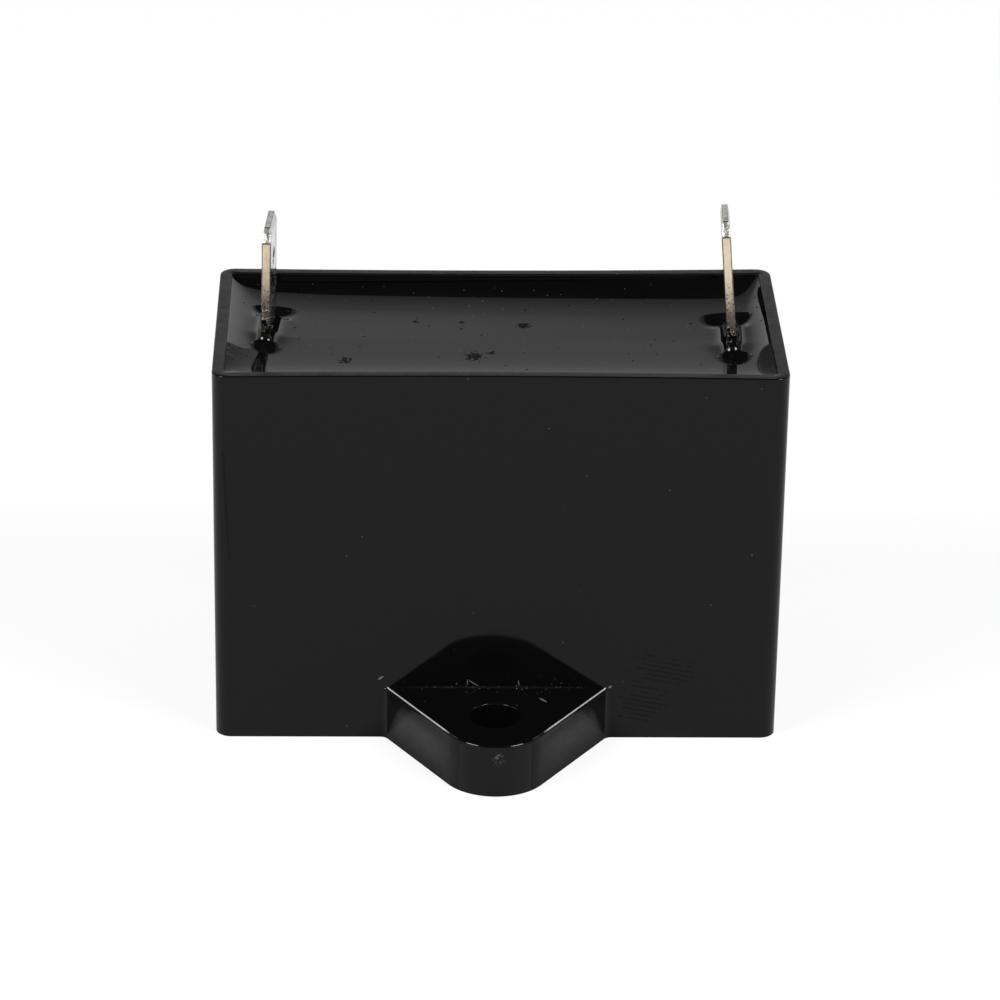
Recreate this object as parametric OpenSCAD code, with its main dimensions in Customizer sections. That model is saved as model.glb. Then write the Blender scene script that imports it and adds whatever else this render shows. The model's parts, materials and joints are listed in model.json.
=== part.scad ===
// Boxed fan capacitor: a moulded case with a mounting ear, a film winding potted in resin,
// and two quick-connect terminals. Millimetres, +Z up, origin at the centre of the case's base.

/* [Case] */
// Outside width of the case, along X
case_width = 50; // [46:0.5:60]
// Outside depth of the case, along Y
case_depth = 25; // [23:0.5:32]
// Outside height of the case, along Z
case_height = 35; // [32:0.5:44]
// Thickness of the four side walls
case_wall = 1.1; // [0.8:0.1:1.6]
// Thickness of the case's floor
case_floor = 1.2; // [0.8:0.1:2]
// Plan radius of the case's upright edges
case_corner = 1.4; // [1.2:0.1:3]

/* [Mounting ear] */
// Width of the ear where it leaves the front wall
ear_width = 19.8; // [16:0.1:26]
// Distance from the front wall to the tip of the ear's nose
ear_reach = 11; // [9.5:0.1:14]
// Thickness of the ear
ear_thickness = 5; // [3:0.1:7]
// Radius of the ear's round nose
ear_nose = 4.9; // [3.8:0.1:6]
// Distance of the nose and the screw hole from the middle of the case, towards +X
ear_skew = -0.25; // [-1:0.05:1]
// Radius of the round along the ear's upper edge
ear_round = 0.35; // [0.2:0.05:0.8]
// Diameter of the screw hole
screw_hole = 4.5; // [3:0.1:5.5]
// Distance from the front wall to the centre of the screw hole
screw_hole_offset = 5.3; // [4.5:0.1:6.5]

/* [Resin] */
// Depth of the resin's flat middle below the rim
resin_below_rim = 1.7; // [1.3:0.1:3]
// Height that the resin climbs at the walls
wall_climb = 1; // [0.4:0.1:1.2]
// Distance from a wall in which the climb falls to about a third
climb_length = 1.6; // [1:0.1:2.4]
// Height that the resin climbs at a terminal
terminal_climb = 0.9; // [0.3:0.1:1.5]
// Distance from a terminal in which the climb falls to about a third
terminal_climb_length = 0.7; // [0.4:0.1:1.2]

/* [Winding] */
// Length of the roll along X, the width of the film
film_width = 38.6; // [34:0.2:39]
// Thickness of the pressed roll along Y
roll_thickness = 18.5; // [14:0.5:20]
// Height of the pressed roll along Z
roll_height = 28; // [20:0.5:28.5]
// Resin between the case's floor and the roll
roll_lift = 0.9; // [0.4:0.1:2]
// Distance of the roll from the middle of the case, towards +X
roll_shift = 0.2; // [-0.6:0.1:0.6]
// Thickness of the sprayed metal on each end of the roll
spray_thickness = 0.6; // [0.3:0.1:1]

/* [Terminals] */
// Width of the blade
blade_width = 6.3; // [4.8:0.1:6.3]
// Thickness of the strip
strip_thickness = 0.8; // [0.5:0.1:0.8]
// Height of the left blade's tip above the rim
left_blade_above_rim = 9.3; // [7:0.1:14]
// Height of the right blade's tip above the rim
right_blade_above_rim = 10.7; // [7:0.1:14]
// Size of the chamfers at the tip
tip_chamfer = 1.1; // [0.5:0.1:1.5]
// Diameter of the latching hole
latch_hole = 1.6; // [1:0.1:2]
// Distance from the tip to the centre of the latching hole
latch_hole_offset = 3.5; // [2.8:0.1:4.5]
// Depth of the strip's bend below the resin's flat middle
bend_depth = 1.2; // [0.8:0.1:2]
// Inward lean of the left blade, in degrees
left_lean = 0.8; // [0:0.1:8]
// Inward lean of the right blade, in degrees
right_lean = 4.8; // [0:0.1:8]
// Turn of the left blade about the upright, in degrees
left_turn = -3.6; // [-5:0.1:5]
// Turn of the right blade about the upright, in degrees
right_turn = -2.6; // [-5:0.1:5]
// Place of the left blade from the middle of the case, along Y
left_shift = 0.9; // [-2:0.1:2]
// Place of the right blade from the middle of the case, along Y
right_shift = -0.6; // [-2:0.1:2]
// Width of the soldered leg
leg_width = 3.2; // [2:0.1:4.5]
// Length of the leg below the bend
leg_length = 10; // [6:0.5:14]
// Solder between the sprayed end and the leg
solder_gap = 0.3; // [0.3:0.05:0.5]
// Solder over the outside of the leg
solder_cover = 0.5; // [0.2:0.1:0.8]
// Radius of the solder joint where it wets the sprayed end
solder_spread = 3.6; // [3:0.1:4.5]

/* [Hidden] */
$fn = 64;
overshoot = 1;
resin_level = case_height - resin_below_rim;
front = -case_depth / 2;
cavity_width = case_width - 2 * case_wall;
cavity_depth = case_depth - 2 * case_wall;
cavity_corner = max(case_corner - case_wall, 0.2);
ear_nose_centre = ear_reach - ear_nose;
left_flank_turn = flank_turn(ear_width / 2 + ear_skew);
right_flank_turn = flank_turn(ear_width / 2 - ear_skew);
// Strips in the round along the ear's upper edge
ear_round_steps = 5;
// Distances from a wall or terminal, in climb lengths, at which the resin's curve has a point
curve_steps = [0, 0.15, 0.35, 0.6, 0.9, 1.3, 1.9, 2.8, 4.2];
roll_end_radius = roll_thickness / 2;
roll_centre = case_floor + roll_lift + roll_height / 2;
sprayed_half = film_width / 2 + spray_thickness;
strip_centre = sprayed_half + solder_gap + strip_thickness / 2;
bend_level = resin_level - bend_depth;
shoulder_level = bend_level - strip_thickness;
solder_height = solder_gap + strip_thickness + solder_cover;
solder_ball = (pow(solder_spread, 2) + pow(solder_height, 2)) / (2 * solder_height);
leg_foot = bend_level - leg_length;

// Angle from X, seen from above, of the line from the nose's centre to where a flank touches the nose,
// for a flank that leaves the front wall at the given distance to one side of the nose
function flank_turn(side) = acos(ear_nose / norm([side, ear_nose_centre])) - atan2(ear_nose_centre, side);

// Height of the resin's curve above its flat middle, after the given number of climb lengths
function climb(rise, steps) = rise * exp(-steps);

// Outline of a box of the given width and depth with round corners, about the origin
module round_box(width, depth, radius) {
    square([width - 2 * radius, depth], center = true);
    square([width, depth - 2 * radius], center = true);
    for (x = [-1, 1], y = [-1, 1])
        translate([x * (width / 2 - radius), y * (depth / 2 - radius)])
            circle(r = radius);
}

// Outline of the ear, drawn in by the given inset: straight flanks that touch the round nose
module ear_outline(inset) {
    radius = ear_nose - inset;
    left = inset / cos(left_flank_turn) - ear_width / 2 - ear_skew;
    right = ear_width / 2 - ear_skew - inset / cos(right_flank_turn);
    back = ear_nose_centre + case_wall / 2;
    polygon([[left, back], [left, ear_nose_centre],
             [-radius * cos(left_flank_turn), -radius * sin(left_flank_turn)],
             [radius * cos(right_flank_turn), -radius * sin(right_flank_turn)],
             [right, ear_nose_centre], [right, back]]);
    circle(r = radius);
}

// Mounting ear with a rounded upper edge and its screw hole, from inside the front wall to the nose
module ear() {
    translate([ear_skew, front - ear_nose_centre, 0])
        difference() {
            hull($fn = 48)
                for (turn = [0 : 90 / ear_round_steps : 90])
                    linear_extrude(ear_thickness - ear_round * (1 - sin(turn)))
                        ear_outline(ear_round * (1 - cos(turn)));
            translate([0, ear_nose_centre - screw_hole_offset, -overshoot])
                cylinder(d = screw_hole, h = ear_thickness + 2 * overshoot);
        }
}

// Space inside the case's walls, from its floor up to the given level
module cavity(top) {
    translate([0, 0, case_floor])
        linear_extrude(top - case_floor)
            round_box(cavity_width, cavity_depth, cavity_corner);
}

// Moulded box, open at the top, in one piece with its mounting ear
module case() {
    color([0.03, 0.03, 0.03]) {
        difference() {
            linear_extrude(case_height)
                round_box(case_width, case_depth, case_corner);
            cavity(case_height + overshoot);
        }
        ear();
    }
}

// Section of the air over the resin across a cavity of the given width: low in the middle, higher at the walls
module air_section(width) {
    half = width / 2;
    low = [for (s = curve_steps) [-half + s * climb_length, resin_level + climb(wall_climb, s)]];
    high = [for (i = [len(curve_steps) - 1 : -1 : 0]) [-low[i].x, low[i].y]];
    roof = case_height + overshoot;
    polygon(concat([[-half - overshoot, roof], [-half - overshoot, low[0].y]], low, high,
                   [[half + overshoot, low[0].y], [half + overshoot, roof]]));
}

// Air over the resin: clear of the curve along the side walls and of the one along the end walls
module air() {
    intersection() {
        rotate([90, 0, 0])
            linear_extrude(case_depth, center = true)
                air_section(cavity_width);
        rotate([90, 0, 90])
            linear_extrude(case_width, center = true)
                air_section(cavity_depth);
    }
}

// Half section of the resin that climbs a strip of the given half thickness, from its middle outwards
module climb_section(half) {
    curve = [for (s = curve_steps) [half + s * terminal_climb_length, resin_level + climb(terminal_climb, s)]];
    polygon(concat([[0, bend_level], [0, curve[0].y]], curve, [[curve[len(curve) - 1].x, bend_level]]));
}

// Resin that climbs a terminal: a ridge along the blade with a round end at each edge
module collar() {
    half = strip_thickness / 2;
    run = blade_width - strip_thickness;
    rotate([90, 0, 0])
        linear_extrude(run, center = true)
            for (side = [0, 1])
                mirror([side, 0])
                    climb_section(half);
    for (end = [-1, 1])
        translate([0, end * run / 2, 0])
            rotate_extrude()
                climb_section(half);
}

// Places its children at the foot of the left or right terminal, which is drawn leaning towards +X
module at_left() {
    translate([roll_shift - strip_centre, left_shift, 0])
        rotate([0, 0, left_turn])
            children();
}

module at_right() {
    translate([roll_shift + strip_centre, right_shift, 0])
        rotate([0, 0, right_turn])
            mirror([1, 0, 0])
                children();
}

// Casting resin: fills the cavity round the winding and climbs the walls and the terminals
module potting_resin() {
    color([0.05, 0.05, 0.05])
        difference() {
            cavity(case_height);
            difference() {
                air();
                at_left()
                    collar();
                at_right()
                    collar();
            }
            roll(2 * sprayed_half);
            left_solder();
            right_solder();
            left_terminal();
            right_terminal();
        }
}

// Flat-pressed roll of the given length along X
module roll(length) {
    translate([roll_shift, 0, roll_centre])
        rotate([90, 0, 90])
            linear_extrude(length, center = true) {
                square([roll_thickness, roll_height - roll_thickness], center = true);
                for (end = [-1, 1])
                    translate([0, end * (roll_height / 2 - roll_end_radius)])
                        circle(r = roll_end_radius);
            }
}

// Flat-pressed roll of metallised film
module film_winding() {
    color([0.75, 0.75, 0.78])
        roll(film_width);
}

// Sprayed metal on one end of the roll
module end_spray(side) {
    color([0.6, 0.6, 0.58])
        translate([side * (film_width + spray_thickness) / 2, 0, 0])
            roll(spray_thickness);
}

module left_end_spray() {
    end_spray(-1);
}

module right_end_spray() {
    end_spray(1);
}

// Side view of the bent strip, leaning towards +X above its bend, up to a tip at the given level
module strip_side(tip, lean) {
    half = strip_thickness / 2;
    along = [sin(lean), cos(lean)];
    across = half * [cos(lean), -sin(lean)];
    bend = [0, bend_level];
    mitre = [half, -half * tan(lean / 2)];
    end = bend + along * (tip - bend_level) / cos(lean);
    polygon([[-half, leg_foot], [half, leg_foot], bend + mitre, end + across, end - across, bend - mitre]);
}

// Face view of the stamped strip: leg, shoulder and blade, with a chamfered tip at the given level
module strip_face(tip) {
    half = blade_width / 2;
    leg = leg_width / 2;
    roof = tip + overshoot;
    chamfer_top = half - tip_chamfer - overshoot;
    polygon([[-leg, leg_foot - overshoot], [leg, leg_foot - overshoot], [leg, shoulder_level], [half, shoulder_level],
             [half, tip - tip_chamfer], [chamfer_top, roof], [-chamfer_top, roof],
             [-half, tip - tip_chamfer], [-half, shoulder_level], [-leg, shoulder_level]]);
}

// Stamped strip with its blade leaning towards +X
module terminal(tip, lean) {
    color([0.8, 0.76, 0.66])
        difference() {
            intersection() {
                rotate([90, 0, 0])
                    linear_extrude(2 * blade_width, center = true)
                        strip_side(tip, lean);
                rotate([90, 0, 90])
                    linear_extrude(case_width, center = true)
                        strip_face(tip);
            }
            translate([0, 0, bend_level])
                rotate([0, lean, 0])
                    translate([0, 0, (tip - bend_level) / cos(lean) - latch_hole_offset])
                        rotate([0, 90, 0])
                            cylinder(d = latch_hole, h = 2 * strip_thickness, center = true);
        }
}

module left_terminal() {
    at_left()
        terminal(case_height + left_blade_above_rim, left_lean);
}

module right_terminal() {
    at_right()
        terminal(case_height + right_blade_above_rim, right_lean);
}

// Solder joint that runs round the foot of a leg and wets the sprayed end, drawn towards -X
module solder(shift) {
    color([0.66, 0.67, 0.69])
        translate([roll_shift - sprayed_half, shift, leg_foot])
            intersection() {
                translate([solder_ball - solder_height, 0, 0])
                    sphere(r = solder_ball);
                translate([-solder_ball, 0, 0])
                    cube(2 * solder_ball, center = true);
            }
}

module left_solder() {
    difference() {
        solder(left_shift);
        left_terminal();
    }
}

module right_solder() {
    difference() {
        translate([2 * roll_shift, 0, 0])
            mirror([1, 0, 0])
                solder(right_shift);
        right_terminal();
    }
}

case();
potting_resin();
film_winding();
left_end_spray();
right_end_spray();
left_solder();
right_solder();
left_terminal();
right_terminal();
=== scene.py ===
"""Boxed fan capacitor: fine shapes and finishes over its CAD frame. Metres, +Z up, mounting ear towards -Y."""
import json
from math import acos, atan2, cos, exp, hypot, pi, radians, sin, tan

import bmesh
import bpy
from mathutils import Matrix, Vector, noise


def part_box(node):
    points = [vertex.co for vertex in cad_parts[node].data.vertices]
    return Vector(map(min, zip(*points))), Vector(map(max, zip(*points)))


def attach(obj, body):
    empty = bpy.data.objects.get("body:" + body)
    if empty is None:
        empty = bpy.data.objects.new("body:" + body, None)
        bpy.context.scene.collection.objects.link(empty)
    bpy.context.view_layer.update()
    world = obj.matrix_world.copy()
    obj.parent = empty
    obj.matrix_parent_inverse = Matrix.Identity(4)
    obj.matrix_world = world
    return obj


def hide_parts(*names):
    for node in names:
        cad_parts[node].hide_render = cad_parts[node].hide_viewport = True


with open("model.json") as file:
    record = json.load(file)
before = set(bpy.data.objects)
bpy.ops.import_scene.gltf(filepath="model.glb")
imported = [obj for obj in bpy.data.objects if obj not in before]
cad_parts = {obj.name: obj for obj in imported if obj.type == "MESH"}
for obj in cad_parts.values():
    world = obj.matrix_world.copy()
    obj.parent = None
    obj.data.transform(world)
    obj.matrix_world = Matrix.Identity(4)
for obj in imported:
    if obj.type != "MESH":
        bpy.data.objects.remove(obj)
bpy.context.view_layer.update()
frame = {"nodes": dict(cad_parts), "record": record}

MM = 0.001
TINY = 0.001 * MM
CUT_SNAP = TINY / 10
ROUNDED_ANGLE = radians(30)
SMOOTH_ANGLE = radians(40)

# Sizes read from the frame
case_low, case_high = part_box("case")
resin_low, resin_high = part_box("potting_resin")
mounts = {mount["name"]: mount for mount in frame["record"]["mounts"]}
RIM = case_high.z
BACK = case_high.y
FRONT = -BACK
HALF_WIDTH = case_high.x
NOSE_TIP = case_low.y
WALL = case_high.x - resin_high.x
CAVITY_FLOOR = resin_low.z
CAVITY_X = HALF_WIDTH - WALL
CAVITY_Y = BACK - WALL
HOLE_CENTRE = Vector(mounts["screw_hole"]["pos_m"][:2])
HOLE_RADIUS = mounts["screw_hole"]["dims"]["r_mm"] * MM
EAR_TOP = mounts["screw_hole"]["dims"]["length_mm"] * MM

# Case
CORNER = 1.4 * MM
CORNER_STEPS = 10
EAR_HALF_WIDTH = 9.9 * MM
NOSE_RADIUS = 4.9 * MM
NOSE_CENTRE = Vector((HOLE_CENTRE.x, NOSE_TIP + NOSE_RADIUS))
NOSE_STEPS = 20
ROOT_FILLET = 0.8 * MM
FILLET_STEPS = 5
EAR_ROUND = 0.4 * MM
EAR_ROUND_STEPS = 6
HOLE_STEPS = 48
RIM_ROUND = 0.14 * MM
BASE_ROUND = 0.12 * MM
HOLE_ROUND = 0.12 * MM
WALL_BOW = 0.42 * MM
RIM_TWIST = 0.11 * MM

# Cuts that let the walls follow the bow, as shares of the half width and of the height
BOW_CUTS_ACROSS = [i / 5 for i in range(-4, 5)]
BOW_CUTS_UP = (0.3, 0.5, 0.65, 0.8, 0.9)

# Steps of the nose, from each flank on, that are as hazy as the flanks
SCUFFED_NOSE_STEPS = 6

# Print of a finger on the front face: patches as middle x and z, half width and half height in millimetres
PRINT_PITCH = 0.46 * MM
PRINT_RIDGE = 0.38
PRINT_TURN = radians(11)
PRINT_ROWS = range(9, 27)
PRINT_COLUMN = 0.4 * MM
PRINT_COLUMNS = range(26, 46)
PRINT_LEFT = 10 * MM
PRINT_RIGHT = 20 * MM
PRINT_PATCHES = ((14.77, 6.65, 2.8, 1.3), (12.99, 3.43, 2.0, 1.9))
PRINT_GRAIN = 0.6 * MM
PRINT_RAGGED = 0.9
PRINT_EDGE = 0.95

# Dull streak at the left front corner: x and z of the top and foot of its two edges, in millimetres
STREAK_EDGES = (((-24.22, 29.0), (-23.66, 17.5)), ((-23.98, 29.0), (-23.55, 17.5)))
STREAK_SIDE = -21 * MM
STREAK_FRONT = 0.93 * FRONT

# Scratches, in millimetres: middle x and z, half width, half height, and turn in degrees
FRONT_SCRATCHES = (
    (-10.3, 5.92, 0.34, 0.11, 38),
    (-2.6, 5.5, 0.05, 0.34, 0),
    (-2.1, 5.45, 0.06, 0.62, 55),
    (1.95, 5.45, 0.05, 0.34, 8),
    (10.1, 5.08, 0.2, 0.12, 30),
)
INNER_SCRATCHES = (
    (15.3, 33.95, 0.9, 0.05, -24),
    (16.2, 34.05, 0.05, 0.4, 22),
    (14.6, 34.3, 0.45, 0.04, 20),
)
INNER_BACK = BACK - 1.4 * MM

# Resin
RESIN_LEVEL = RIM - 1.7 * MM
RESIN_GRID = 0.13 * MM
RIM_MARGIN = 0.06 * MM

# Climb of the resin at each wall: rise and length
LEFT_CLIMB = (1.45 * MM, 1.8 * MM)
RIGHT_CLIMB = (1.38 * MM, 1.05 * MM)
FRONT_CLIMB = (1.0 * MM, 1.5 * MM)
BACK_CLIMB = (0.98 * MM, 1.5 * MM)
BACK_CLIMB_SKEW = 0.34

# Climb of the resin at each blade: less by its front edge, and dropping faster behind its back edge
BLADE_RISE = 1.1 * MM
BLADE_LENGTH = 0.42 * MM
BLADE_CLIMB_MIDDLE = 0.7 * MM
FRONT_EDGE_RISE = 0.72
FRONT_EDGE_LENGTH = 0.68
FRONT_EDGE_REACH = 2.6 * MM
BACK_DROP = 6
BACK_DROP_REACH = 1.1 * MM

# Swells of resin by the blades: x and y of the crest, half width and depth in millimetres, and slope
SWELLS = (
    (-19.95, 6.3, 1.9, 1.7, 0.2),
    (20.5, 5.06, 2.3, 2.46, 0.2),
    (-20.5, -2.27, 1.25, 1.8, 0.24),
    (20.74, -3.81, 1.4, 1.89, 0.24),
)
SWELL_BACK = 8

# Dull smears on the resin, in millimetres: middle x and y, half width and half depth
SMEARS = (
    (-2.25, -4.05, 1.0, 1.15),
    (2.3, 3.3, 0.75, 0.75),
    (-13.55, -5.0, 0.6, 0.9),
    (-0.64, -3.16, 0.4, 0.35),
    (-3.1, 3.9, 0.35, 0.35),
    (-7.3, 4.0, 0.3, 0.5),
)
SMEAR_EDGE = 0.7
SMEAR_GRAINS = ((0.8, 0.32 * MM), (0.4, 0.13 * MM))

# Terminals
STRIP = 0.8 * MM
BLADE_WIDTH = 6.3 * MM
LEG_WIDTH = 3.2 * MM
TIP_CHAMFER = 1.1 * MM
TIP_TAPER = 0.34
STAIN_LEVEL = 43.0 * MM
LATCH_RADIUS = 0.8 * MM
LATCH_OFFSET = 3.5 * MM
LATCH_STEPS = 20
BEND_LEVEL = RESIN_LEVEL - 1.2 * MM
SHOULDER_LEVEL = BEND_LEVEL - STRIP
STRIP_ROUND = 0.09 * MM
TERMINALS = {
    "left_terminal": {
        "side": -1, "x": -20.4 * MM, "y": 0.9 * MM, "lean": radians(0.8), "turn": radians(-3.6)},
    "right_terminal": {
        "side": 1, "x": 20.8 * MM, "y": -0.6 * MM, "lean": radians(4.8), "turn": radians(-2.6)},
}

# Finish slots of the pieces that have several
GLOSSY_SLOT, RIM_SLOT, GREASY_SLOT, SCUFFED_SLOT = range(4)
CLEAN_SLOT, SMEARED_SLOT = range(2)
TIN_SLOT, SHEARED_SLOT, BURRED_SLOT = range(3)

# Colours and gloss levels
BLACK = (0.0022, 0.0022, 0.0022)
GREASE = (0.003, 0.003, 0.003)
SMEAR_GREY = (0.005, 0.005, 0.005)
SCUFF_HAZE = (0.026, 0.026, 0.026)
DUST = (0.11, 0.11, 0.105)
# Pale of the worn edges and of the gate's torn mark; along the ear's flanks it is also a painted highlight
WORN_AND_HIGHLIGHT = (0.4, 0.4, 0.4)
TARNISH = (0.06, 0.055, 0.05)
DULL_FILM = (0.34, 0.33, 0.29)
PLASTIC_GLOSS = 0.17
RIM_GLOSS = 0.14
GREASY_GLOSS = 0.115
SCUFFED_GLOSS = 0.055
SMEAR_GLOSS = 0.02

# Usual range of a noise, and the slow drift that breaks up the rows of scattered specks
NOISE_LOW = 0.3
NOISE_HIGH = 0.7
DRIFT_SCALE = 0.3
DRIFT_REACH = 1.6

# Metals of a terminal, in the order of its slots; coat gives where resin splashes are fullest and thinnest
STRIP_METALS = {
    "tin_plate": {
        "base": (0.72, 0.71, 0.68), "stain": (0.42, 0.40, 0.36), "rough": (0.07, 0.2),
        "streak": 0.25 * MM, "coat": (3.2 * MM, 6.8 * MM), "tip_stain": 0.5},
    "sheared_edge": {
        "base": (0.76, 0.65, 0.49), "stain": (0.30, 0.24, 0.16), "rough": (0.22, 0.42),
        "streak": 0.5 * MM, "coat": (1.5 * MM, 4.8 * MM), "tip_stain": 0.0},
    "burred_edge": {
        "base": (0.17, 0.14, 0.11), "stain": (0.03, 0.027, 0.024), "rough": (0.25, 0.45),
        "streak": 0.12 * MM, "coat": (1.5 * MM, 4.8 * MM), "tip_stain": 0.0},
}

# Camera, as fitted to the photograph's outline
VIEW_PITCH = radians(25.17)
VIEW_TURN = radians(1.705)
VIEW_ROLL = radians(0.958)
VIEW_TARGET = Vector((0.0, 0.0, RIM / 2))
VIEW_OFFSET = Vector((0.395, 0.038, 403.88)) * MM
LENS = 161.11
SENSOR = 36.0
CLIP_START = 0.01

# Studio: the floor's glow by kind of ray, the light of the surroundings by height, and two softboxes
FLOOR_SIZE = 4.0
FLOOR_GREY = (0.8, 0.8, 0.8, 1.0)
FLOOR_GLOW = 1.03
FLOOR_GLOW_SHARES = {"Is Camera Ray": 0.85, "Is Glossy Ray": 0.25, "Is Transmission Ray": 0.7}
LIGHT_BY_HEIGHT = (
    (0.0, 1.0), (0.26, 0.92), (0.335, 0.78), (0.384, 0.65), (0.393, 0.613), (0.405, 0.54), (0.43, 0.43),
    (0.455, 0.425), (0.492, 0.40), (0.548, 0.385), (0.66, 0.38), (0.668, 0.035), (1.0, 0.015),
)
SOFTBOX_AZIMUTHS = {"left_softbox": radians(-56), "right_softbox": radians(53)}
SOFTBOX_RISE = radians(45)
SOFTBOX_WIDTH = 0.36
SOFTBOX_HEIGHT = 0.18
SOFTBOX_RADIANCE = 34


def flank_turn(side):
    """Angle, from X, of the line from the nose's centre to where a flank of the ear touches the nose."""
    away = EAR_HALF_WIDTH - side * NOSE_CENTRE.x
    root = FRONT - NOSE_CENTRE.y
    return acos(NOSE_RADIUS / hypot(away, root)) - atan2(root, away)


def arc(centre, radius, start, end, steps):
    """Points on a circle from one angle to another."""
    turns = [start + (end - start) * i / steps for i in range(steps + 1)]
    return [(centre[0] + radius * cos(t), centre[1] + radius * sin(t)) for t in turns]


def ear_outline(inset):
    """Outline of the ear drawn in by an inset, from the right of its root round the nose to the left."""
    points = []
    for side in (1, -1):
        turn = flank_turn(side)
        bend = pi / 2 - turn
        fillet_x = EAR_HALF_WIDTH + ROOT_FILLET * tan(bend / 2)
        reach = ROOT_FILLET + inset
        first = acos(ROOT_FILLET / reach)
        bends = [first + (bend - first) * i / FILLET_STEPS for i in range(FILLET_STEPS + 1)]
        half = [(side * (fillet_x - reach * sin(t)), FRONT - ROOT_FILLET + reach * cos(t)) for t in bends]
        nose = arc((0, 0), NOSE_RADIUS - inset, -turn, -pi / 2, NOSE_STEPS)
        half += [(NOSE_CENTRE.x + side * x, NOSE_CENTRE.y + y) for x, y in nose]
        points += half if side > 0 else half[-2::-1]
    return points


def box_outline():
    """Right half of the box's outline, from back to front, and left half, from front to back."""
    side = HALF_WIDTH - CORNER
    long = BACK - CORNER
    quarter = pi / 2
    right = arc((side, long), CORNER, quarter, 0, CORNER_STEPS)
    right += arc((side, -long), CORNER, 0, -quarter, CORNER_STEPS)
    left = arc((-side, -long), CORNER, 3 * quarter, pi, CORNER_STEPS)
    left += arc((-side, long), CORNER, pi, quarter, CORNER_STEPS)
    return right, left


def whole(bm):
    """Everything in a bmesh, as the operators take it."""
    return bm.verts[:] + bm.edges[:] + bm.faces[:]


def extrude(bm, faces, move, keep=False):
    """Pushes faces out by a vector; the first faces stay or are taken away."""
    made = bmesh.ops.extrude_face_region(bm, geom=faces)["geom"]
    verts = [item for item in made if isinstance(item, bmesh.types.BMVert)]
    bmesh.ops.translate(bm, verts=verts, vec=move)
    if not keep:
        bmesh.ops.delete(bm, geom=faces, context="FACES_ONLY")


def mirror_half(bm, axis):
    """Opens the cut face of a half shape and completes the shape by its mirror image."""
    cut = [face for face in bm.faces if all(abs(vert.co[axis]) < TINY for vert in face.verts)]
    bmesh.ops.delete(bm, geom=cut, context="FACES")
    bmesh.ops.mirror(bm, geom=whole(bm), merge_dist=TINY, axis="XYZ"[axis])
    bmesh.ops.remove_doubles(bm, verts=bm.verts, dist=TINY)
    bmesh.ops.dissolve_limit(bm, angle_limit=radians(0.1), use_dissolve_boundaries=False,
                             verts=bm.verts, edges=bm.edges, delimit=set())
    bmesh.ops.recalc_face_normals(bm, faces=bm.faces)


def round_edges(bm, radius, segments, wanted):
    """Rounds the sharp edges that pass the test, which is given an edge's two ends."""
    edges = []
    for edge in bm.edges:
        if len(edge.link_faces) == 2 and edge.calc_face_angle() > ROUNDED_ANGLE:
            if wanted(edge.verts[0].co, edge.verts[1].co):
                edges.append(edge)
    bmesh.ops.bevel(bm, geom=edges, offset=radius, offset_type="OFFSET", segments=segments,
                    profile=0.5, affect="EDGES", material=-1, clamp_overlap=True)


def add_piece(name, bm, finishes, node):
    """Makes a piece from a bmesh, in place of a CAD node."""
    for face in bm.faces:
        face.smooth = True
    for edge in bm.edges:
        edge.smooth = edge.calc_face_angle(0.0) < SMOOTH_ANGLE
    mesh = bpy.data.meshes.new(name)
    bm.to_mesh(mesh)
    bm.free()
    for finish in finishes:
        mesh.materials.append(finish)
    piece = bpy.data.objects.new(name, mesh)
    bpy.context.scene.collection.objects.link(piece)
    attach(piece, "root")
    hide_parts(node)
    return piece


def weigh_normals(piece):
    """Keeps broad faces flat and lets only the small rounds bend the light."""
    modifier = piece.modifiers.new("Weighted normals", "WEIGHTED_NORMAL")
    modifier.weight = 100
    modifier.keep_sharp = True


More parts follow.
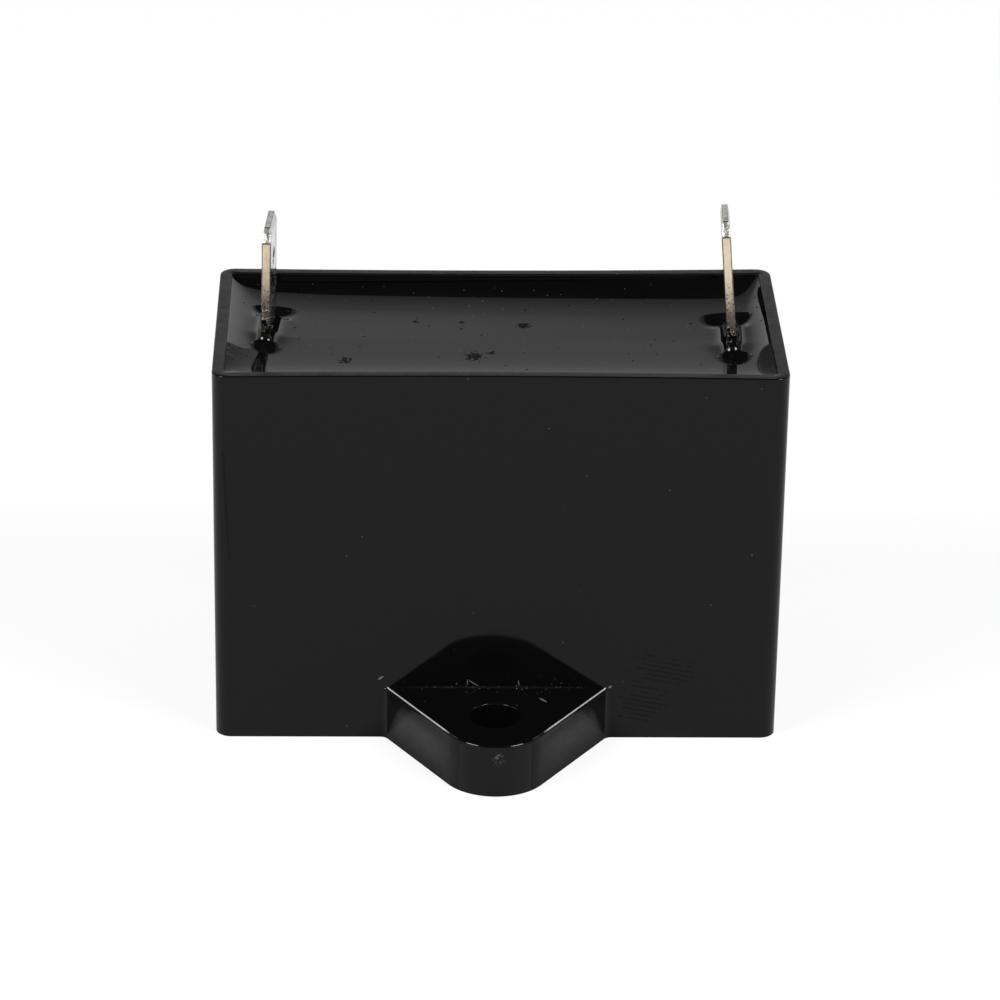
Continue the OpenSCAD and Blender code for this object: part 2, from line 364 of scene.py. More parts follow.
class Finish:
    """A procedural material on Object coordinates, with short calls for its nodes."""

    def __init__(self, name):
        self.material = bpy.data.materials.new(name)
        self.material.use_nodes = True
        self.tree = self.material.node_tree
        self.shader = self.tree.nodes["Principled BSDF"]
        self.place = self.tree.nodes.new("ShaderNodeTexCoord").outputs["Object"]

    def set(self, **values):
        """Sets constants on the shader's own sockets."""
        for name, value in values.items():
            self.shader.inputs[name.replace("_", " ")].default_value = value

    def node(self, kind, links=None, **settings):
        """Adds a node: settings are its properties, links are values or sockets for its inputs."""
        node = self.tree.nodes.new("ShaderNode" + kind)
        for name, value in settings.items():
            setattr(node, name, value)
        for key, value in (links or {}).items():
            if isinstance(value, bpy.types.NodeSocket):
                self.tree.links.new(value, node.inputs[key])
            else:
                node.inputs[key].default_value = value
        return node

    def to_shader(self, name, socket):
        """Links a value that changes over the surface to the shader."""
        self.tree.links.new(socket, self.shader.inputs[name])

    def maths(self, operation, first, *others):
        """One operation run through several values."""
        for other in others:
            first = self.node("Math", {0: first, 1: other}, operation=operation).outputs[0]
        return first

    def times(self, *values):
        """The product of several values."""
        return self.maths("MULTIPLY", *values)

    def total(self, *values):
        """The sum of several values."""
        return self.maths("ADD", *values)

    def most(self, *values):
        """The largest of several masks."""
        return self.maths("MAXIMUM", *values)

    def mixed(self, share, first, second):
        """One value passing into another."""
        return self.total(self.times(self.maths("SUBTRACT", 1.0, share), first), self.times(share, second))

    def spread(self, value, low, high, to_low=0.0, to_high=1.0):
        """Maps a range of a value to another, clamped."""
        links = {"Value": value, "From Min": low, "From Max": high, "To Min": to_low, "To Max": to_high}
        return self.node("MapRange", links).outputs["Result"]

    def band(self, value, low, high, soft):
        """1 between two values, falling to 0 beyond them."""
        return self.times(self.spread(value, low - soft, low), self.spread(value, high, high + soft, 1.0, 0.0))

    def moved(self, centre=(0, 0, 0), turn=(0, 0, 0), size=(1, 1, 1)):
        """Object coordinates about a centre, turned and divided by a size."""
        at = self.node("VectorMath", {0: self.place, 1: centre}, operation="SUBTRACT").outputs[0]
        links = {"Vector": at, "Rotation": turn}
        turned = self.node("VectorRotate", links, rotation_type="EULER_XYZ").outputs[0]
        return self.node("VectorMath", {0: turned, 1: size}, operation="DIVIDE").outputs[0]

    def patch(self, centre, size, turn=(0, 0, 0), edge=0.6):
        """1 inside an ellipsoid, from a share of its size falling to 0 at its surface."""
        inside = self.moved(centre, turn, size)
        length = self.node("VectorMath", {0: inside}, operation="LENGTH").outputs["Value"]
        return self.spread(length, edge, 1.0, 1.0, 0.0)

    def along(self, origin, direction):
        """Distance from a point, along a direction."""
        at = self.node("VectorMath", {0: self.place, 1: origin}, operation="SUBTRACT").outputs[0]
        return self.node("VectorMath", {0: at, 1: direction}, operation="DOT_PRODUCT").outputs["Value"]

    def height(self, level=0.0):
        """Height above a level."""
        return self.along((0, 0, level), (0, 0, 1))

    def noise(self, scale, detail=3.0, roughness=0.5, place=None):
        """Cloudy noise, with about as many clouds to the metre as its scale."""
        links = {"Vector": place or self.place, "Scale": scale, "Detail": detail, "Roughness": roughness}
        return self.node("TexNoise", links).outputs["Fac"]

    def mottled(self, value, low, high):
        """A noise made to vary from one value to another."""
        return self.spread(value, NOISE_LOW, NOISE_HIGH, low, high)

    def specks(self, spacing, size, share, dimensions="3D"):
        """Scattered dots: spacing and size in metres, share of the cells that hold one."""
        links = {"Vector": self.place, "Scale": DRIFT_SCALE / spacing, "Detail": 0.0}
        drift = self.node("TexNoise", links).outputs["Color"]
        links = {0: drift, 1: (DRIFT_REACH * spacing,) * 3, 2: self.place}
        shifted = self.node("VectorMath", links, operation="MULTIPLY_ADD").outputs[0]
        links = {"Vector": shifted, "Scale": 1.0 / spacing, "Randomness": 1.0}
        cells = self.node("TexVoronoi", links, voronoi_dimensions=dimensions)
        dot = self.spread(cells.outputs["Distance"], 0.5 * size / spacing, size / spacing, 1.0, 0.0)
        chance = self.node("SeparateColor", {0: cells.outputs["Color"]}).outputs[0]
        return self.times(dot, self.maths("LESS_THAN", chance, share))

    def colours(self, share, first, second):
        """A colour between two, each a socket or plain values."""
        ends = [end if isinstance(end, bpy.types.NodeSocket) else (*end, 1.0) for end in (first, second)]
        return self.node("MixRGB", {0: share, 1: ends[0], 2: ends[1]}).outputs[0]

    def bump(self, height, depth, strength=1.0):
        """Fine relief of a depth in metres."""
        node = self.node("Bump", {"Height": height, "Distance": depth, "Strength": strength})
        self.to_shader("Normal", node.outputs["Normal"])


def worn_flanks(f):
    """Mask of the pale line along the top edge of each flank of the ear: edge wear, with a painted highlight
    there.
    """
    level = f.band(f.height(), EAR_TOP - 0.3 * MM, EAR_TOP, 0.01 * MM)
    lines = []
    for side in (-1, 1):
        turn = flank_turn(side)
        outward = (side * cos(turn), -sin(turn), 0)
        forward = (-side * sin(turn), -cos(turn), 0)
        root = (side * EAR_HALF_WIDTH, FRONT, 0)
        straight = f.band(f.along(root, forward), 0, 9.4 * MM, 0.9 * MM)
        edge = f.band(f.along(root, outward), -0.215 * MM, -0.155 * MM, 0.035 * MM)
        lines.append(f.times(straight, edge))
    return f.times(f.most(*lines), level)


def scratch_marks(f):
    """Mask of the scratches by the ear and inside the back wall, and of the chip on top of the ear."""
    marks = []
    for table, place_y, depth in ((FRONT_SCRATCHES, FRONT, 0.3 * MM), (INNER_SCRATCHES, INNER_BACK, 0.5 * MM)):
        for x, z, wide, high, turn in table:
            size = (wide * MM, depth, high * MM)
            marks.append(f.patch((x * MM, place_y, z * MM), size, (0, radians(turn), 0)))
    chip = (4.05 * MM, FRONT - 2.36 * MM, EAR_TOP)
    marks.append(f.patch(chip, (0.6 * MM, 0.13 * MM, 0.2 * MM), (0, 0, radians(52))))
    return f.most(*marks)


def case_plastic():
    """Polished black moulding: dust, a pale dotted line along the ear's root, scuffs by the ear, worn edges
    with a painted highlight along the ear's flanks, and the rough mark of the gate.
    """
    f = Finish("polished_plastic")
    f.set(Specular_IOR_Level=PLASTIC_GLOSS)
    # Pale worn line along each flank's top edge, which is also a painted highlight
    worn_highlight = f.times(worn_flanks(f), f.spread(f.noise(1500, 2.0), 0.3, 0.6, 0.75, 1.0))
    dust = f.specks(1.7 * MM, 0.085 * MM, 0.35)
    ear_root = (0, FRONT, EAR_TOP)
    # A pale dotted line along the crease at the ear's root
    crease = f.patch(ear_root, (10 * MM, 0.16 * MM, 0.16 * MM), edge=0.5)
    pale_root_line = f.times(crease, f.total(0.05, f.times(f.specks(0.3 * MM, 0.12 * MM, 0.6), 0.35)))
    root_band = f.patch(ear_root, (9.8 * MM, 1.5 * MM, 1.3 * MM), edge=0.1)
    flecks = f.times(root_band, f.specks(0.42 * MM, 0.085 * MM, 0.45))
    gate = f.patch((-0.1 * MM, NOSE_TIP, 3.7 * MM), (0.72 * MM, 0.7 * MM, 0.78 * MM), edge=0.3)
    torn = f.times(gate, f.spread(f.noise(4200, 2.0), 0.52, 0.66, 0.0, 0.17))
    marks = f.most(f.times(dust, 0.5), pale_root_line, flecks, scratch_marks(f))
    f.to_shader("Base Color", f.colours(f.most(worn_highlight, torn), f.colours(marks, BLACK, DUST), WORN_AND_HIGHLIGHT))
    haze = f.spread(f.noise(260, 4.0), 0.35, 0.75, 0.06, 0.1)
    dull = f.most(f.times(gate, 0.3), f.times(marks, 0.5), worn_highlight)
    f.to_shader("Roughness", f.total(haze, dull))
    f.bump(f.total(f.times(f.noise(3200), gate), f.times(f.noise(120, 2.0), 0.01)), 0.25 * MM)
    return f.material


def rim_plastic():
    """The same plastic on the rim, dull and a little chewed along its edges."""
    f = Finish("dull_rim_plastic")
    f.set(Specular_IOR_Level=RIM_GLOSS)
    f.to_shader("Base Color", f.colours(f.specks(0.9 * MM, 0.06 * MM, 0.3), BLACK, DUST))
    f.to_shader("Roughness", f.mottled(f.noise(900, 4.0), 0.26, 0.42))
    f.bump(f.noise(2400), 0.02 * MM, 0.5)
    return f.material


def greasy_plastic():
    """The plastic where a finger's ridges have dulled it; the dull streak down the left front corner has it
    too.
    """
    f = Finish("greasy_plastic")
    f.set(Specular_IOR_Level=GREASY_GLOSS)
    f.to_shader("Base Color", f.colours(f.noise(2600), BLACK, GREASE))
    f.to_shader("Roughness", f.mottled(f.noise(1800), 0.1, 0.2))
    f.bump(f.noise(120, 2.0), 0.0025 * MM)
    return f.material


def scuffed_plastic():
    """The hazy flanks of the ear: palest at half height and fading round the nose; the haze is kept clear by
    the root and at the top and thinned on the right flank, as painted shade.
    """
    f = Finish("scuffed_plastic")
    f.set(Specular_IOR_Level=SCUFFED_GLOSS)
    height = f.height()
    low_fade = f.spread(height, 0.3 * MM, 2.4 * MM, 0.25, 1.0)
    # Painted shade: the haze thins towards the top and by the root, so those parts stay dark
    top_shade = f.spread(height, 3.3 * MM, 4.5 * MM, 1.0, 0.1)
    to_nose = f.spread(f.along((0, FRONT, 0), (0, -1, 0)), 6.6 * MM, 8.8 * MM)
    root_shade = f.spread(f.along((0, FRONT, 0), (0, -1, -0.5)), -0.1 * MM, 0.3 * MM, 0.15, 1.0)
    # Painted shade: thinner haze on the right flank, so it stays darker
    right_flank_shade = f.spread(f.along((0, 0, 0), (1, 0, 0)), -2 * MM, 2 * MM, 1.0, 0.75)
    mottle = f.mottled(f.noise(700, 5.0, 0.6), 0.72, 1.1)
    haze = f.times(root_shade, mottle, right_flank_shade, f.mixed(to_nose, f.times(low_fade, top_shade), 0.34))
    f.to_shader("Base Color", f.colours(haze, BLACK, SCUFF_HAZE))
    f.to_shader("Roughness", f.mottled(f.noise(900, 4.0), 0.12, 0.24))
    f.bump(f.noise(1500), 0.004 * MM)
    return f.material


def casting_resin():
    """Glossy black resin with pinholes and dust."""
    f = Finish("cast_black_resin")
    f.set(Specular_IOR_Level=PLASTIC_GLOSS)
    pinholes = f.times(f.specks(2.1 * MM, 0.11 * MM, 0.3, "2D"), 0.6)
    dust = f.times(f.specks(1.4 * MM, 0.06 * MM, 0.25, "2D"), 0.8)
    f.to_shader("Base Color", f.colours(dust, BLACK, DUST))
    f.to_shader("Roughness", f.total(f.mottled(f.noise(300), 0.03, 0.06), pinholes))
    f.bump(f.maths("SUBTRACT", f.times(f.noise(90, 2.0), 0.02), pinholes), 0.1 * MM)
    return f.material


def smeared_resin():
    """Dull, ragged smears on the resin."""
    f = Finish("dull_resin_smear")
    f.set(Specular_IOR_Level=SMEAR_GLOSS)
    grain = f.noise(5200)
    f.to_shader("Base Color", f.colours(grain, BLACK, SMEAR_GREY))
    f.to_shader("Roughness", f.mottled(grain, 0.35, 0.6))
    f.bump(grain, 0.02 * MM, 0.5)
    return f.material


def resin_splash(f, level, full, least):
    """Mask of the resin left on a terminal: a full coat up to one level, thinning to flecks at another."""
    wanted = f.spread(level, full, least, 0.42, 0.72)
    return f.spread(f.maths("SUBTRACT", f.noise(1600, 4.0, 0.6), wanted), -0.02, 0.02)


def strip_metal(name, base, stain, rough, streak, coat, tip_stain):
    """Stamped metal with grain along Z, stains, a tarnished tip, and a film, flecks and resin at its foot."""
    f = Finish(name)
    level = f.height(RESIN_LEVEL)
    splash = resin_splash(f, level, *coat)
    grain = f.noise(1.0, 4.0, 0.6, place=f.moved(size=(0.05 * MM, 0.05 * MM, streak)))
    blotches = f.spread(f.noise(900, 4.0), 0.45, 0.75)
    metal = f.colours(f.times(f.most(blotches, f.spread(grain, 0.5, 0.9)), 0.6), base, stain)
    tip = f.spread(f.height(STAIN_LEVEL), 0, 0.3 * MM, 0.0, tip_stain)
    dents = f.noise(2200, 3.0, 0.6)
    tarnished = f.colours(f.times(tip, f.spread(dents, 0.5, 0.62)), metal, TARNISH)
    film = f.times(f.spread(level, 4.2 * MM, 6.6 * MM, 0.9, 0.0), f.spread(f.noise(2800, 4.0, 0.6), 0.4, 0.6))
    flecks = f.times(f.spread(level, 5.0 * MM, 8.0 * MM, 1.0, 0.15), f.specks(0.3 * MM, 0.12 * MM, 0.5), 0.9)
    foot = f.spread(level, 1.9 * MM, 2.9 * MM, 0.75, 0.0)
    flecked = f.colours(f.most(foot, flecks), f.colours(film, tarnished, DULL_FILM), TARNISH)
    f.to_shader("Base Color", f.colours(splash, flecked, BLACK))
    f.to_shader("Metallic", f.maths("SUBTRACT", 1.0, splash))
    bare_rough = f.total(f.spread(grain, 0.2, 0.8, *rough), f.times(tip, 0.4))
    f.to_shader("Roughness", f.times(bare_rough, f.spread(splash, 0, 1, 1, 0.4)))
    f.bump(f.total(f.times(grain, 0.2), f.times(tip, dents, 4.0), splash), 0.06 * MM, 0.6)
    return f.material


def hidden_finish(name, base, other, scale, rough, metallic):
    """A mottled finish for a piece that is sealed in the resin."""
    f = Finish(name)
    f.set(Metallic=metallic)
    mottle = f.noise(scale, 4.0)
    f.to_shader("Base Color", f.colours(mottle, base, other))
    f.to_shader("Roughness", f.mottled(mottle, rough - 0.1, rough + 0.1))
    f.bump(mottle, 0.05 * MM, 0.4)
    return f.material


def draw_in(bm):
    """Bows the long walls in towards the rim, as the shrinking resin left them, and twists its back."""
    for vert in bm.verts:
        height = (vert.co.z / RIM) ** 2
        across = vert.co.x / HALF_WIDTH
        depth = vert.co.y / BACK
        vert.co.y -= WALL_BOW * (1 - across ** 2) * height * depth
        vert.co.z += RIM_TWIST * across * max(depth, 0.0) * height


def cut_strips(bm):
    """Cuts the walls into strips that can follow a bow."""
    planes = [((x * HALF_WIDTH, 0, 0), (1, 0, 0)) for x in BOW_CUTS_ACROSS]
    planes += [((0, 0, z * RIM), (0, 0, 1)) for z in BOW_CUTS_UP]
    for place, normal in planes:
        bmesh.ops.bisect_plane(bm, geom=whole(bm), plane_co=place, plane_no=normal, dist=CUT_SNAP)


def cut_faces(bm, chosen, planes):
    """Cuts the faces whose middles are chosen along planes, and returns the cut faces with their middles."""
    def found():
        return [face for face in bm.faces if chosen(face.calc_center_median())]

    for place, normal in planes:
        faces = found()
        parts = {part for face in faces for part in face.verts[:] + face.edges[:]}
        ordered = sorted(parts, key=lambda part: (type(part).__name__, part.index))
        bmesh.ops.bisect_plane(bm, geom=faces + ordered, plane_co=place, plane_no=normal, dist=CUT_SNAP)
    return [(face, face.calc_center_median()) for face in found()]


def print_finger(bm):
    """Cuts the ridges of a finger's print into the front face and gives them the greasy finish."""
    across = Vector((sin(PRINT_TURN), 0, cos(PRINT_TURN)))
    rows = [(row + edge) * PRINT_PITCH for row in PRINT_ROWS for edge in (0.0, PRINT_RIDGE)]
    planes = [(across * row, across) for row in rows]
    planes += [(Vector((column * PRINT_COLUMN, 0, 0)), Vector((1, 0, 0))) for column in PRINT_COLUMNS]

    def by_ear(middle):
        on_front = abs(middle.y - FRONT) < TINY
        return on_front and PRINT_LEFT < middle.x < PRINT_RIGHT and middle.z < BOW_CUTS_UP[0] * RIM

    for face, middle in cut_faces(bm, by_ear, planes):
        spread = min(hypot((middle.x / MM - x) / wide, (middle.z / MM - z) / high)
                     for x, z, wide, high in PRINT_PATCHES)
        on_ridge = middle.dot(across) / PRINT_PITCH % 1 < PRINT_RIDGE
        if on_ridge and spread + PRINT_RAGGED * noise.noise(middle / PRINT_GRAIN) < PRINT_EDGE:
            face.material_index = GREASY_SLOT


def drag_streak(bm):
    """Cuts a dull streak down the left front corner, between two leaning planes, and gives it the finish of
    the finger's print.
    """
    planes = []
    for (top, high), (foot, low) in STREAK_EDGES:
        planes.append((Vector((foot, 0, low)) * MM, Vector((high - low, 0, foot - top)).normalized()))

    def by_corner(middle):
        on_corner = middle.x < STREAK_SIDE and middle.y < STREAK_FRONT
        return on_corner and BOW_CUTS_UP[1] * RIM < middle.z < BOW_CUTS_UP[3] * RIM

    (left, left_normal), (right, right_normal) = planes
    for face, middle in cut_faces(bm, by_corner, planes):
        if (middle - left).dot(left_normal) > 0 > (middle - right).dot(right_normal):
            face.material_index = GREASY_SLOT


def build_ear(bm):
    """The ear: outlines stacked up to a rounded top, with the screw hole; returns the points of its root."""
    turns = [pi / 2 * (1 - i / EAR_ROUND_STEPS) for i in range(EAR_ROUND_STEPS + 1)]
    levels = [(0.0, 0.0)] + [(EAR_ROUND * (1 - sin(t)), EAR_TOP - EAR_ROUND * (1 - cos(t))) for t in turns]
    rings = [[bm.verts.new((x, y, z)) for x, y in ear_outline(inset)] for inset, z in levels]
    for low, high in zip(rings, rings[1:]):
        for i in range(len(low) - 1):
            face = bm.faces.new((low[i], low[i + 1], high[i + 1], high[i]))
            past_fillet = min(i, len(low) - 2 - i) - FILLET_STEPS
            if low is rings[0] and 0 <= past_fillet <= SCUFFED_NOSE_STEPS:
                face.material_index = SCUFFED_SLOT
    ring_points = arc(HOLE_CENTRE, HOLE_RADIUS, -pi / 2, 3 * pi / 2, HOLE_STEPS)[:-1]
    circles = [[bm.verts.new((x, y, z)) for x, y in ring_points] for z in (0.0, EAR_TOP)]
    for i in range(HOLE_STEPS):
        bm.faces.new((circles[0][i - 1], circles[0][i], circles[1][i], circles[1][i - 1]))
    middles = [bm.verts.new((HOLE_CENTRE.x, FRONT, z)) for z in (0.0, EAR_TOP)]
    tip = len(rings[0]) // 2
    opposite = HOLE_STEPS // 2
    for ring, circle, middle in zip((rings[0], rings[-1]), circles, middles):
        bm.faces.new([middle] + ring[:tip + 1] + circle[:opposite + 1])
        bm.faces.new([middle] + ring[:tip - 1:-1] + circle[:1] + circle[:opposite - 1:-1])
    foot = [rings[0][0], middles[0], rings[0][-1]]
    crease = [ring[0] for ring in rings] + [middles[1]] + [ring[-1] for ring in reversed(rings)]
    return foot, crease


def by_hole(point):
    """Whether a point lies on the edge of the screw hole."""
    return abs((point.xy - HOLE_CENTRE).length - HOLE_RADIUS) < TINY


def case_piece():
    """The moulded box and its ear: hollowed, rounded and bowed."""
    right, left = box_outline()
    bm = bmesh.new()
    foot, crease = build_ear(bm)
    low, high = [[bm.verts.new((x, y, z)) for x, y in right + left] for z in (0.0, RIM)]
    last = len(right) - 1
    for i in range(len(low)):
        if i != last + 1:
            bm.faces.new((low[i - 1], low[i], high[i], high[i - 1]))
    bm.faces.new([low[last]] + crease + [low[last + 1], high[last + 1], high[last]])
    bm.faces.new(low[:last + 1] + foot + low[last + 1:])
    bm.faces.new(high)
    bmesh.ops.recalc_face_normals(bm, faces=bm.faces)
    rim_face = max(bm.faces, key=lambda face: face.calc_center_median().z)
    rim_ring = bmesh.ops.inset_region(bm, faces=[rim_face], thickness=WALL, use_even_offset=True)["faces"]
    for face in rim_ring:
        face.material_index = RIM_SLOT
    extrude(bm, [rim_face], Vector((0, 0, CAVITY_FLOOR - RIM)))
    bmesh.ops.recalc_face_normals(bm, faces=bm.faces)
    round_edges(bm, HOLE_ROUND, 3, lambda a, b: by_hole(a) and by_hole(b) and abs(a.z - b.z) < TINY)
    round_edges(bm, RIM_ROUND, 3, lambda a, b: min(a.z, b.z) > RIM - TINY)
    round_edges(bm, BASE_ROUND, 2, lambda a, b: max(a.z, b.z) < TINY and not by_hole(a))
    cut_strips(bm)
    print_finger(bm)
    drag_streak(bm)
    draw_in(bm)
    finishes = {GLOSSY_SLOT: case_plastic(), RIM_SLOT: rim_plastic(), GREASY_SLOT: greasy_plastic(),
                SCUFFED_SLOT: scuffed_plastic()}
    weigh_normals(add_piece("case_moulding", bm, finishes.values(), "case"))


def blade_climb(x, y, terminal):
    """Height that the resin climbs at a point beside a terminal."""
    turn = terminal["turn"]
    leaning = tan(terminal["lean"]) * (RESIN_LEVEL + BLADE_CLIMB_MIDDLE - BEND_LEVEL)
    middle = terminal["x"] - terminal["side"] * leaning
    across = (x - middle) * cos(turn) + (y - terminal["y"]) * sin(turn)
    along = (y - terminal["y"]) * cos(turn) - (x - middle) * sin(turn)
    past = max(abs(along) - (BLADE_WIDTH - STRIP) / 2, 0.0)
    if along > 0:
        past *= 1 + BACK_DROP * past / MM * exp(-(across / BACK_DROP_REACH) ** 2)
    away = max(hypot(across, past) - STRIP / 2, 0.0)
    full = min(max((along + BLADE_WIDTH / 2) / FRONT_EDGE_REACH, 0.0), 1.0)
    full *= full * (3 - 2 * full)
    rise = BLADE_RISE * (FRONT_EDGE_RISE + (1 - FRONT_EDGE_RISE) * full)
    length = BLADE_LENGTH * (FRONT_EDGE_LENGTH + (1 - FRONT_EDGE_LENGTH) * full)
    return rise * exp(-away / length)


def swell_height(x, y):
    """Height of the swells behind and in front of the blades; each crest lies on a row of the resin's grid."""
    row = 2 * CAVITY_Y / round(2 * CAVITY_Y / RESIN_GRID)
    total = 0.0
    for crest_x, crest_y, wide, deep, slope in SWELLS:
        crest = round((crest_y * MM + CAVITY_Y) / row) * row - CAVITY_Y
        reach = deep * MM * max(1 - ((x / MM - crest_x) / wide) ** 2, 0.0) ** 0.5
        total += slope * max(reach - max(crest - y, SWELL_BACK * (y - crest)), 0.0)
    return total


def resin_height(x, y):
    """Level of the resin, which climbs the walls and the terminals."""
    room = RIM - RIM_MARGIN - RESIN_LEVEL
    back_rise = BACK_CLIMB[0] * (1 + BACK_CLIMB_SKEW * x / CAVITY_X)
    climbs = (
        (*LEFT_CLIMB, CAVITY_X + x),
        (*RIGHT_CLIMB, CAVITY_X - x),
        (*FRONT_CLIMB, CAVITY_Y + y),
        (back_rise, BACK_CLIMB[1], CAVITY_Y - y),
    )
    left_over = 1.0
    for rise, length, away in climbs:
        left_over *= 1 - rise / room * exp(-away / length)
    at_blades = sum(blade_climb(x, y, terminal) for terminal in TERMINALS.values())
    return RESIN_LEVEL + room * (1 - left_over) + swell_height(x, y) + at_blades


def is_smeared(point):
    """Whether a point of the resin lies in one of the ragged smears."""
    spread = min(hypot((point.x / MM - x) / wide, (point.y / MM - y) / deep) for x, y, wide, deep in SMEARS)
    return spread + sum(share * noise.noise(point / size) for share, size in SMEAR_GRAINS) < SMEAR_EDGE


def resin_piece():
    """The cast resin: a fine grid drawn up to its climbing surface, with sides and an underside."""
    bm = bmesh.new()
    columns = round(2 * CAVITY_X / RESIN_GRID)
    rows = round(2 * CAVITY_Y / RESIN_GRID)
    bmesh.ops.create_grid(bm, x_segments=columns, y_segments=rows, size=1.0,
                          matrix=Matrix.Diagonal((CAVITY_X, CAVITY_Y, 1.0, 1.0)))
    inner = CORNER - WALL
    for vert in bm.verts:
        over_x = max(abs(vert.co.x) - CAVITY_X + inner, 0.0)
        over_y = max(abs(vert.co.y) - CAVITY_Y + inner, 0.0)
        over = Vector((over_x, over_y))
        if over.length > inner:
            over *= 1 - inner / over.length
            vert.co.x -= over.x if vert.co.x > 0 else -over.x
            vert.co.y -= over.y if vert.co.y > 0 else -over.y
        vert.co.z = resin_height(vert.co.x, vert.co.y)
    for face in bm.faces:
        face.material_index = SMEARED_SLOT if is_smeared(face.calc_center_median()) else CLEAN_SLOT
    border = [edge for edge in bm.edges if edge.is_boundary]
    made = bmesh.ops.extrude_edge_only(bm, edges=border)["geom"]
    for vert in (item for item in made if isinstance(item, bmesh.types.BMVert)):
        vert.co.z = CAVITY_FLOOR
    underside = [item for item in made if isinstance(item, bmesh.types.BMEdge) and item.is_boundary]
    bmesh.ops.edgeloop_fill(bm, edges=underside)
    draw_in(bm)
    bmesh.ops.recalc_face_normals(bm, faces=bm.faces)
    finishes = {CLEAN_SLOT: casting_resin(), SMEARED_SLOT: smeared_resin()}
    add_piece("cast_resin", bm, finishes.values(), "potting_resin")


def is_burred(normal):
    """Whether a face with this normal is a round beside a sheared edge or at a chamfer's end."""
    across, along, up = (abs(part) for part in normal)
    beside_edge = up < 0.3 and 0.2 < across < 0.98
    at_chamfer = across < 0.3 and 0.05 < up < 0.98 and abs(up - along) > 0.05
    return beside_edge or at_chamfer


def terminal_piece(node, terminal, finishes):
    """A stamped strip: half its outline thickened, mirrored, rounded, bent at its foot and set in place."""
    low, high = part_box(node)
    lean = terminal["lean"]
    tip = BEND_LEVEL + (high.z - BEND_LEVEL - STRIP / 2 * sin(lean)) / cos(lean)
    half = BLADE_WIDTH / 2
    leg = LEG_WIDTH / 2
    outline = [(0.0, low.z), (leg, low.z), (leg, SHOULDER_LEVEL), (half, SHOULDER_LEVEL)]
    outline += [(half, tip - TIP_CHAMFER), (half - TIP_CHAMFER, tip), (0.0, tip)]
    outline += arc((0.0, tip - LATCH_OFFSET), LATCH_RADIUS, pi / 2, -pi / 2, LATCH_STEPS)
    bm = bmesh.new()
    half_face = bm.faces.new([bm.verts.new((-STRIP / 2, y, z)) for y, z in outline])
    extrude(bm, [half_face], Vector((STRIP, 0, 0)), keep=True)
    mirror_half(bm, 1)
    for face in bm.faces:
        plated = abs(face.normal.x) > 0.5 or face.normal.z > 0.3
        face.material_index = TIN_SLOT if plated else SHEARED_SLOT
    round_edges(bm, STRIP_ROUND, 3, lambda a, b: True)
    for face in bm.faces:
        if is_burred(face.normal):
            face.material_index = BURRED_SLOT
    for vert in bm.verts:
        vert.co.x *= 1 - TIP_TAPER * max(vert.co.z - tip + TIP_CHAMFER, 0.0) / TIP_CHAMFER
    bend = (0, 0, BEND_LEVEL)
    bmesh.ops.bisect_plane(bm, geom=whole(bm), plane_co=bend, plane_no=(0, 0, 1), dist=TINY)
    upper = [vert for vert in bm.verts if vert.co.z > BEND_LEVEL + TINY]
    bmesh.ops.rotate(bm, verts=upper, cent=bend, matrix=Matrix.Rotation(-terminal["side"] * lean, 3, "Y"))
    bmesh.ops.rotate(bm, verts=bm.verts, cent=(0, 0, 0), matrix=Matrix.Rotation(terminal["turn"], 3, "Z"))
    bmesh.ops.translate(bm, verts=bm.verts, vec=(terminal["x"], terminal["y"], 0.0))
    weigh_normals(add_piece(node + "_strip", bm, finishes, node))


def dress_hidden_nodes():
    """Finishes of the pieces sealed in the resin."""
    film = hidden_finish("film_roll_metal", (0.62, 0.62, 0.66), (0.80, 0.80, 0.83), 400, 0.35, 0.8)
    zinc = hidden_finish("zinc_layer", (0.36, 0.36, 0.35), (0.56, 0.56, 0.54), 1600, 0.7, 0.6)
    solder = hidden_finish("solder_metal", (0.55, 0.56, 0.58), (0.68, 0.69, 0.71), 700, 0.3, 1.0)
    finishes = {
        "film_winding": film,
        "left_end_spray": zinc,
        "right_end_spray": zinc,
        "left_solder": solder,
        "right_solder": solder,
    }
    for node, finish in finishes.items():
        mesh = frame["nodes"][node].data
        mesh.materials.clear()
        mesh.materials.append(finish)


def white_table():
    """Matt white that glows for some rays, so that the floor shows white and keeps a faint shadow."""
    material = bpy.data.materials.new("white_table")
    material.use_nodes = True
    tree = material.node_tree
    tree.nodes.clear()
    matt = tree.nodes.new("ShaderNodeBsdfDiffuse")
    matt.inputs["Color"].default_value = FLOOR_GREY
    glow = tree.nodes.new("ShaderNodeEmission")
    glow.inputs["Strength"].default_value = FLOOR_GLOW
    mix = tree.nodes.new("ShaderNodeMixShader")
    path = tree.nodes.new("ShaderNodeLightPath")
    share = None
    for ray, part in FLOOR_GLOW_SHARES.items():
        node = tree.nodes.new("ShaderNodeMath")
        node.operation = "MULTIPLY_ADD"
        tree.links.new(path.outputs[ray], node.inputs[0])
        node.inputs[1].default_value = part
        node.inputs[2].default_value = 0.0
        if share:
            tree.links.new(share, node.inputs[2])
        share = node.outputs[0]
    tree.links.new(share, mix.inputs[0])
    tree.links.new(matt.outputs[0], mix.inputs[1])
    tree.links.new(glow.outputs[0], mix.inputs[2])
    output = tree.nodes.new("ShaderNodeOutputMaterial")
    tree.links.new(mix.outputs[0], output.inputs["Surface"])
    return material


def studio_floor():
    """The table that the object stands on."""
    bm = bmesh.new()
    bmesh.ops.create_grid(bm, x_segments=1, y_segments=1, size=FLOOR_SIZE)
    mesh = bpy.data.meshes.new("floor")
    bm.to_mesh(mesh)
    bm.free()
    mesh.materials.append(white_table())
    floor = bpy.data.objects.new("floor", mesh)
    bpy.context.scene.collection.objects.link(floor)


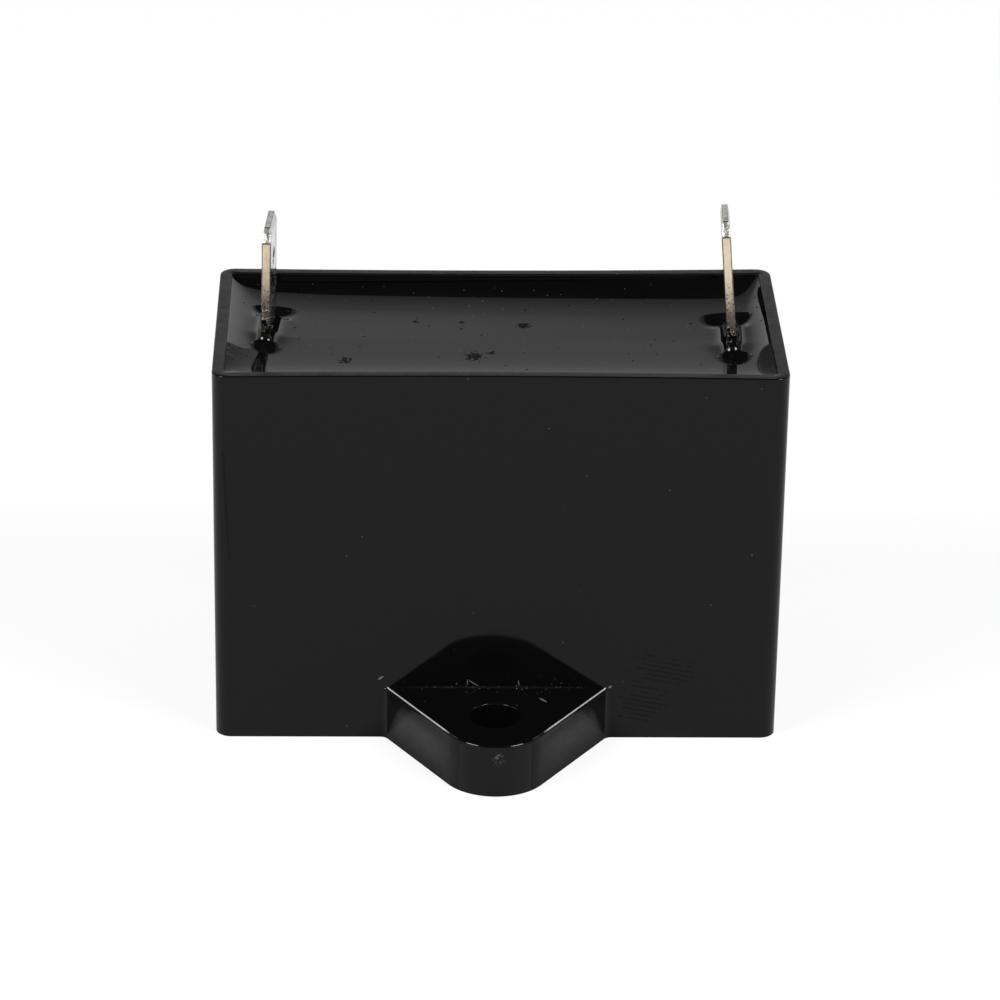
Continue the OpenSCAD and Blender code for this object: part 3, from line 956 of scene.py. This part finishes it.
def studio_world():
    """White up to a low backdrop's edge, then a dark ceiling; the camera sees plain white."""
    world = bpy.data.worlds.new("studio")
    bpy.context.scene.world = world
    world.use_nodes = True
    tree = world.node_tree
    place = tree.nodes.new("ShaderNodeTexCoord")
    split = tree.nodes.new("ShaderNodeSeparateXYZ")
    ramp = tree.nodes.new("ShaderNodeValToRGB")
    stops = ramp.color_ramp.elements
    while len(stops) < len(LIGHT_BY_HEIGHT):
        stops.new(0.5)
    for stop, (height, level) in zip(stops, LIGHT_BY_HEIGHT):
        stop.position = height
        stop.color = (level, level, level, 1.0)
    path = tree.nodes.new("ShaderNodeLightPath")
    mix = tree.nodes.new("ShaderNodeMix")
    mix.data_type = "RGBA"
    mix.inputs[7].default_value = (1.0, 1.0, 1.0, 1.0)
    tree.links.new(place.outputs["Generated"], split.inputs[0])
    tree.links.new(split.outputs["Z"], ramp.inputs["Fac"])
    tree.links.new(ramp.outputs["Color"], mix.inputs[6])
    tree.links.new(path.outputs["Is Camera Ray"], mix.inputs[0])
    tree.links.new(mix.outputs[2], tree.nodes["Background"].inputs["Color"])


def softbox(name, azimuth):
    """Lamp a metre away, aimed at the middle of the object; azimuth from the front, towards the right."""
    light = bpy.data.lights.new(name, "AREA")
    light.shape = "RECTANGLE"
    light.size = SOFTBOX_WIDTH
    light.size_y = SOFTBOX_HEIGHT
    light.energy = SOFTBOX_RADIANCE * pi * SOFTBOX_WIDTH * SOFTBOX_HEIGHT
    lamp = bpy.data.objects.new(name, light)
    level = cos(SOFTBOX_RISE)
    lamp.location = VIEW_TARGET + Vector((sin(azimuth) * level, -cos(azimuth) * level, sin(SOFTBOX_RISE)))
    lamp.rotation_euler = (VIEW_TARGET - lamp.location).to_track_quat("-Z", "Y").to_euler()
    bpy.context.scene.collection.objects.link(lamp)


def photo_camera():
    """Camera at the photograph's angle and framing."""
    data = bpy.data.cameras.new("photo_camera")
    data.sensor_width = SENSOR
    data.lens = LENS
    data.clip_start = CLIP_START
    camera = bpy.data.objects.new("photo_camera", data)
    turn = Matrix.Rotation(-VIEW_TURN, 4, "Z") @ Matrix.Rotation(pi / 2 - VIEW_PITCH, 4, "X")
    turn = turn @ Matrix.Rotation(VIEW_ROLL, 4, "Z")
    camera.matrix_world = Matrix.Translation(VIEW_TARGET + turn.to_3x3() @ VIEW_OFFSET) @ turn
    bpy.context.scene.collection.objects.link(camera)
    bpy.context.scene.camera = camera


strip_finishes = [strip_metal(metal_name, **look) for metal_name, look in STRIP_METALS.items()]
photo_camera()
studio_floor()
studio_world()
for softbox_name, softbox_azimuth in SOFTBOX_AZIMUTHS.items():
    softbox(softbox_name, softbox_azimuth)
case_piece()
resin_piece()
for terminal_node, terminal_values in TERMINALS.items():
    terminal_piece(terminal_node, terminal_values, strip_finishes)
dress_hidden_nodes()
bpy.context.scene.view_settings.view_transform = "Standard"
